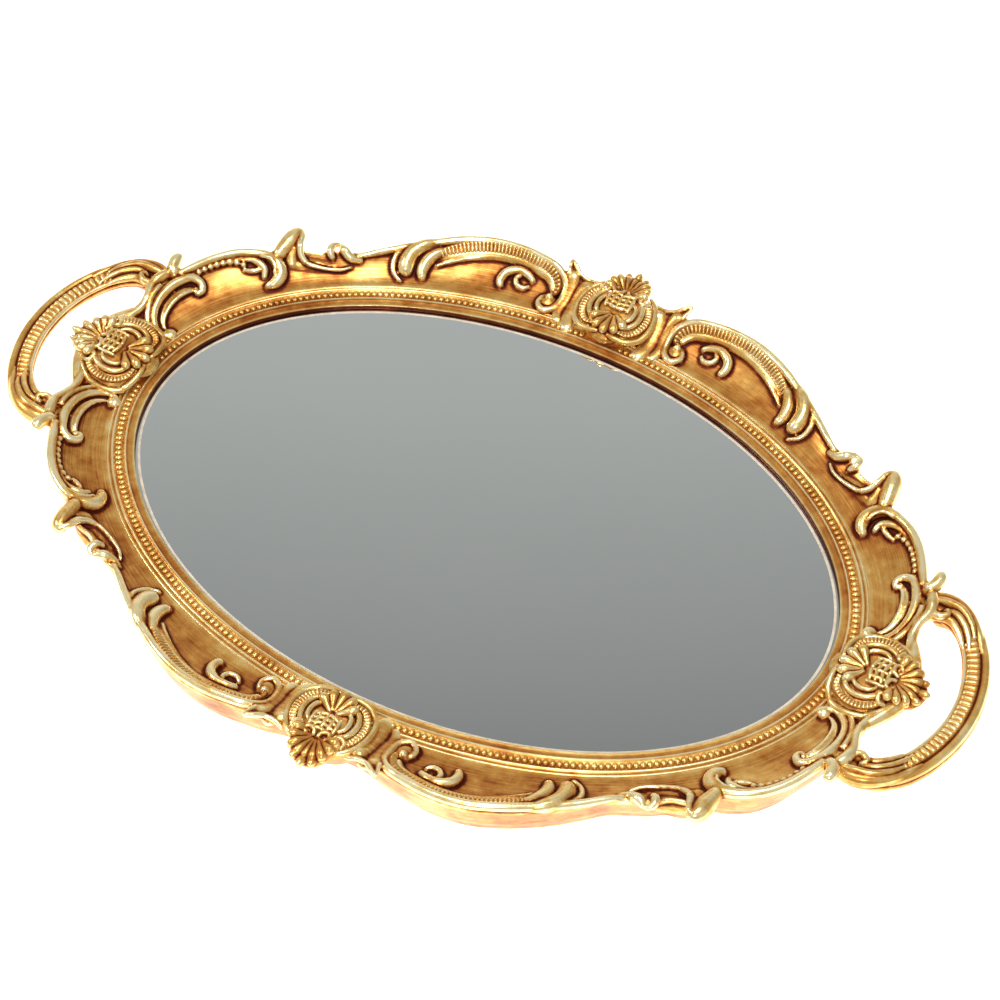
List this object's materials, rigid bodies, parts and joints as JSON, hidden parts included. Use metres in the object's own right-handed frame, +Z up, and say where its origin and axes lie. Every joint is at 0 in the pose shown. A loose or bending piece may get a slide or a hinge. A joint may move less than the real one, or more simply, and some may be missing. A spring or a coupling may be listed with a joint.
{
  "type": "dresser vanity tray",
  "caption": "Oval mirrored vanity tray with a scalloped antique-gold scroll frame, shell cartouches, a beaded line and open loop handles at both ends.",
  "frame": {"origin": "middle of the tray on the surface it stands on", "axes": "+X out through the right handle along the length, +Y to the far long side, +Z up out of the mirror"},
  "size_m": [0.3764, 0.2496, 0.0232],
  "materials": {
    "gilt_resin": "cast resin with antique gold paint, brown patina in the recesses and pale burnished high points",
    "mirror_plate": "2 mm silvered glass",
    "foam": "soft black foam tape",
    "board": "plain fibreboard",
    "felt": "black flocked felt",
    "screw_steel": "zinc plated",
    "pad_rubber": "matte black bumper"
  },
  "bodies": {
    "root": {"frame_moulding": "gilt_resin", "handle_right": "gilt_resin", "handle_left": "gilt_resin", "cartouche_far": "gilt_resin", "cartouche_near": "gilt_resin", "cartouche_right": "gilt_resin", "cartouche_left": "gilt_resin", "mirror_glass": "mirror_plate", "foam_ring": "foam", "backing_board": "board", "felt_lining": "felt", "board_screw_1": "screw_steel", "board_screw_2": "screw_steel", "board_screw_3": "screw_steel", "board_screw_4": "screw_steel", "board_screw_5": "screw_steel", "board_screw_6": "screw_steel", "board_screw_7": "screw_steel", "board_screw_8": "screw_steel", "foot_pad_1": "pad_rubber", "foot_pad_2": "pad_rubber", "foot_pad_3": "pad_rubber", "foot_pad_4": "pad_rubber"}
  },
  "joints": []
}
